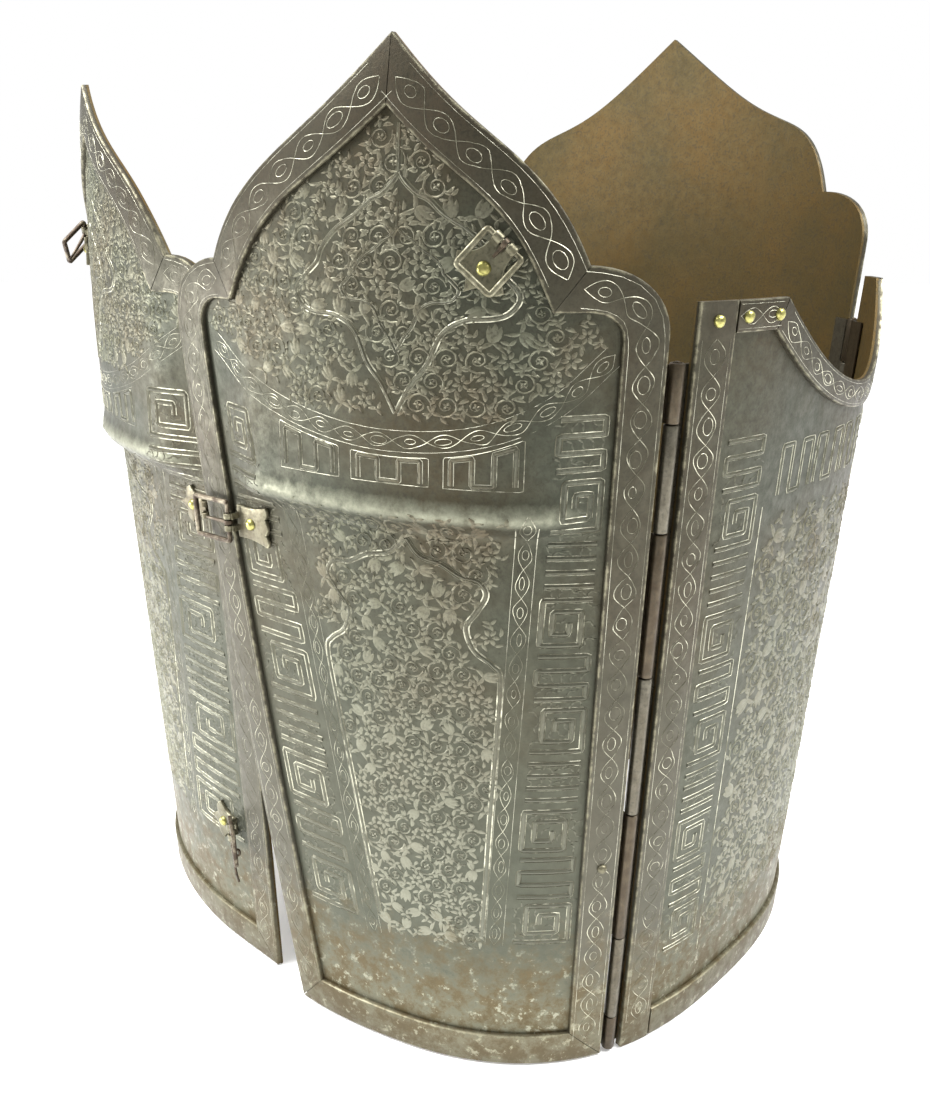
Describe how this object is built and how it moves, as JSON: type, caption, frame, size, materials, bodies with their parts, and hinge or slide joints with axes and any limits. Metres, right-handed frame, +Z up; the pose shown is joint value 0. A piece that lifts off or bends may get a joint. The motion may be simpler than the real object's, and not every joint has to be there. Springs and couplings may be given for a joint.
{
  "type": "hinged plate cuirass",
  "caption": "Steel plate cuirass of hinged front, side and back plates with ogee crests, arm cut-outs and buckles.",
  "frame": {"origin": "centre of the footprint, on the surface that the plates stand on", "axes": "+Z up, the chest faces -Y, +X towards the wearer's left side"},
  "size_m": [0.4028, 0.3572, 0.476],
  "materials": {
    "inlaid_steel": "aged, inlaid",
    "rim_steel": "aged, inlaid",
    "hinge_steel": "aged",
    "buckle_iron": "forged, rusted",
    "brass_rivet": "worn"
  },
  "bodies": {
    "back": {"plate_back": "inlaid_steel", "rim_back": "rim_steel", "hinge_back_left_aft_leaf": "hinge_steel", "hinge_back_right_aft_leaf": "hinge_steel", "hinge_back_left_pin": "hinge_steel", "hinge_back_right_pin": "hinge_steel"},
    "side_left": {"plate_side_left": "inlaid_steel", "rim_side_left_aft": "rim_steel", "rim_side_left_arm": "rim_steel", "rim_side_left_foot": "rim_steel", "rim_side_left_fore": "rim_steel", "rim_side_left_shoulder": "rim_steel", "rivet_side_left_arm": "brass_rivet", "rivet_side_left_fore": "brass_rivet", "rivet_side_left_mid": "brass_rivet", "hinge_back_left_fore_leaf": "hinge_steel", "hinge_front_left_aft_leaf": "hinge_steel", "hinge_front_left_pin": "hinge_steel"},
    "front_left": {"buckle_shoulder_left_plate": "buckle_iron", "buckle_shoulder_left_rivet": "brass_rivet", "clasp_left_plate": "buckle_iron", "clasp_left_rivet": "brass_rivet", "plate_front_left": "inlaid_steel", "rim_front_left": "rim_steel", "rivet_front_left_rim": "brass_rivet", "hinge_front_left_fore_leaf": "hinge_steel"},
    "side_right": {"plate_side_right": "inlaid_steel", "rim_side_right_aft": "rim_steel", "rim_side_right_arm": "rim_steel", "rim_side_right_foot": "rim_steel", "rim_side_right_fore": "rim_steel", "rim_side_right_shoulder": "rim_steel", "rivet_side_right_arm": "brass_rivet", "rivet_side_right_fore": "brass_rivet", "rivet_side_right_mid": "brass_rivet", "hinge_back_right_fore_leaf": "hinge_steel", "hinge_front_right_aft_leaf": "hinge_steel", "hinge_front_right_pin": "hinge_steel"},
    "front_right": {"buckle_low_right_plate": "buckle_iron", "buckle_low_right_rivet": "brass_rivet", "buckle_shoulder_right_plate": "buckle_iron", "buckle_shoulder_right_rivet": "brass_rivet", "catch_high_right_plate": "buckle_iron", "catch_high_right_rivet": "brass_rivet", "plate_front_right": "inlaid_steel", "rim_front_right": "rim_steel", "hinge_front_right_fore_leaf": "hinge_steel"},
    "buckle_shoulder_left_swing": {"buckle_shoulder_left_frame": "buckle_iron", "buckle_shoulder_left_prong": "buckle_iron"},
    "buckle_shoulder_right_swing": {"buckle_shoulder_right_frame": "buckle_iron", "buckle_shoulder_right_prong": "buckle_iron"},
    "clasp_left_swing": {"clasp_left_frame": "buckle_iron", "clasp_left_prong": "buckle_iron"},
    "buckle_low_right_swing": {"buckle_low_right_frame": "buckle_iron", "buckle_low_right_hook": "buckle_iron"}
  },
  "joints": [
    {"name": "side_left_open", "type": "hinge", "parent": "back", "child": "side_left", "pos_m": [0.13997, 0.10824, 0.001], "axis": [0.0451, 0.0506, 0.9977], "range_deg": [0, 80]},
    {"name": "side_right_open", "type": "hinge", "parent": "back", "child": "side_right", "pos_m": [-0.13997, 0.10824, 0.001], "axis": [0.0451, -0.0506, -0.9977], "range_deg": [0, 80]},
    {"name": "front_left_open", "type": "hinge", "parent": "side_left", "child": "front_left", "pos_m": [0.16681, -0.08347, 0.001], "axis": [0.0537, -0.0119, 0.9985], "range_deg": [0, 100]},
    {"name": "front_right_open", "type": "hinge", "parent": "side_right", "child": "front_right", "pos_m": [-0.16681, -0.08347, 0.001], "axis": [0.0537, 0.0119, -0.9985], "range_deg": [0, 100]},
    {"name": "shoulder_buckle_left_swing", "type": "hinge", "parent": "front_left", "child": "buckle_shoulder_left_swing", "pos_m": [0.14916, -0.14301, 0.36417], "axis": [-0.6189, -0.4124, 0.6685], "range_deg": [0, 150]},
    {"name": "shoulder_buckle_right_swing", "type": "hinge", "parent": "front_right", "child": "buckle_shoulder_right_swing", "pos_m": [-0.14916, -0.14301, 0.36417], "axis": [-0.6189, 0.4124, -0.6685], "range_deg": [-12, 118]},
    {"name": "clasp_left_swing", "type": "hinge", "parent": "front_left", "child": "clasp_left_swing", "pos_m": [0.0182, -0.17468, 0.24582], "axis": [0.0019, -0.0309, 0.9995], "range_deg": [0, 150]},
    {"name": "low_buckle_right_swing", "type": "hinge", "parent": "front_right", "child": "buckle_low_right_swing", "pos_m": [-0.01407, -0.16515, 0.07179], "axis": [-0.0015, 0.036, -0.9994], "range_deg": [-15, 110]}
  ],
  "couplings": [
    {"joint": "front_right_open", "follows": "front_left_open", "ratio": 1},
    {"joint": "side_right_open", "follows": "side_left_open", "ratio": 1}
  ]
}
